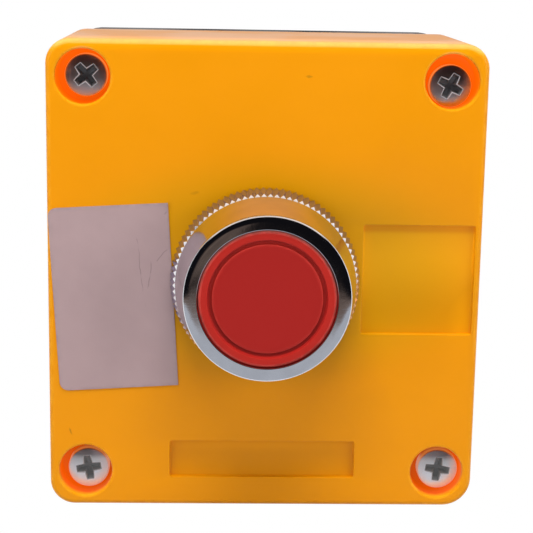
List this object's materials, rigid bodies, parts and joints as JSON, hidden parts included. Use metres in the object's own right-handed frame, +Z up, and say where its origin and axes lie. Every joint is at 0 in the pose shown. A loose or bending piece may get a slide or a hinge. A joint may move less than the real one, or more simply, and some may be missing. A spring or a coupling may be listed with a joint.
{
  "type": "push button control box",
  "caption": "Wall-mounted control box with a drafted moulded lid, a flush spring-return push-button in a knurled metal bezel, and a contact block inside.",
  "frame": {"origin": "centre of the flat rear face of the base, which lies on the wall", "axes": "+Y into the wall, -Y out of the front of the lid along the button, +Z up, +X to the right seen from the front"},
  "size_m": [0.0704, 0.069, 0.077],
  "materials": {
    "yellow_plastic": "satin gloss",
    "dark_plastic": "fine texture",
    "rubber": "matt",
    "zinc_steel": "zinc plated",
    "chrome": "polished",
    "die_cast": "as cast zinc alloy",
    "red_plastic": "satin gloss",
    "black_plastic": "satin",
    "block_red": "satin",
    "brass": "bright",
    "label_film": "satin film"
  },
  "bodies": {
    "root": {"lid": "yellow_plastic", "base": "dark_plastic", "lid_gasket": "rubber", "lid_screw_1": "zinc_steel", "lid_screw_2": "zinc_steel", "lid_screw_3": "zinc_steel", "lid_screw_4": "zinc_steel", "bezel_ring": "chrome", "panel_washer": "rubber", "head_body": "die_cast", "stem_seal": "rubber", "return_spring": "zinc_steel", "mounting_collar": "die_cast", "collar_screw_1": "zinc_steel", "collar_screw_2": "zinc_steel", "block_housing": "black_plastic", "block_cover": "block_red", "block_spring": "zinc_steel", "terminal_upper": "brass", "terminal_lower": "brass", "terminal_screw_upper": "zinc_steel", "terminal_screw_lower": "zinc_steel", "wire_clamp_upper": "zinc_steel", "wire_clamp_lower": "zinc_steel"},
    "button": {"push_cap": "red_plastic", "pusher": "black_plastic"},
    "contact": {"contact_plunger": "block_red", "bridge_contact": "brass", "bridge_spring": "zinc_steel"}
  },
  "joints": [
    {"name": "button_press", "type": "slide", "parent": "root", "child": "button", "axis": [0, 1, 0], "range_m": [0, 0.004], "stiffness_N_per_m": 700, "springref_m": -0.005, "deforming": ["return_spring"]},
    {"name": "contact_slide", "type": "slide", "parent": "root", "child": "contact", "axis": [0, 1, 0], "range_m": [0, 0.004], "deforming": ["block_spring"]}
  ],
  "couplings": [
    {"joint": "contact_slide", "follows": "button_press", "ratio": 1}
  ]
}
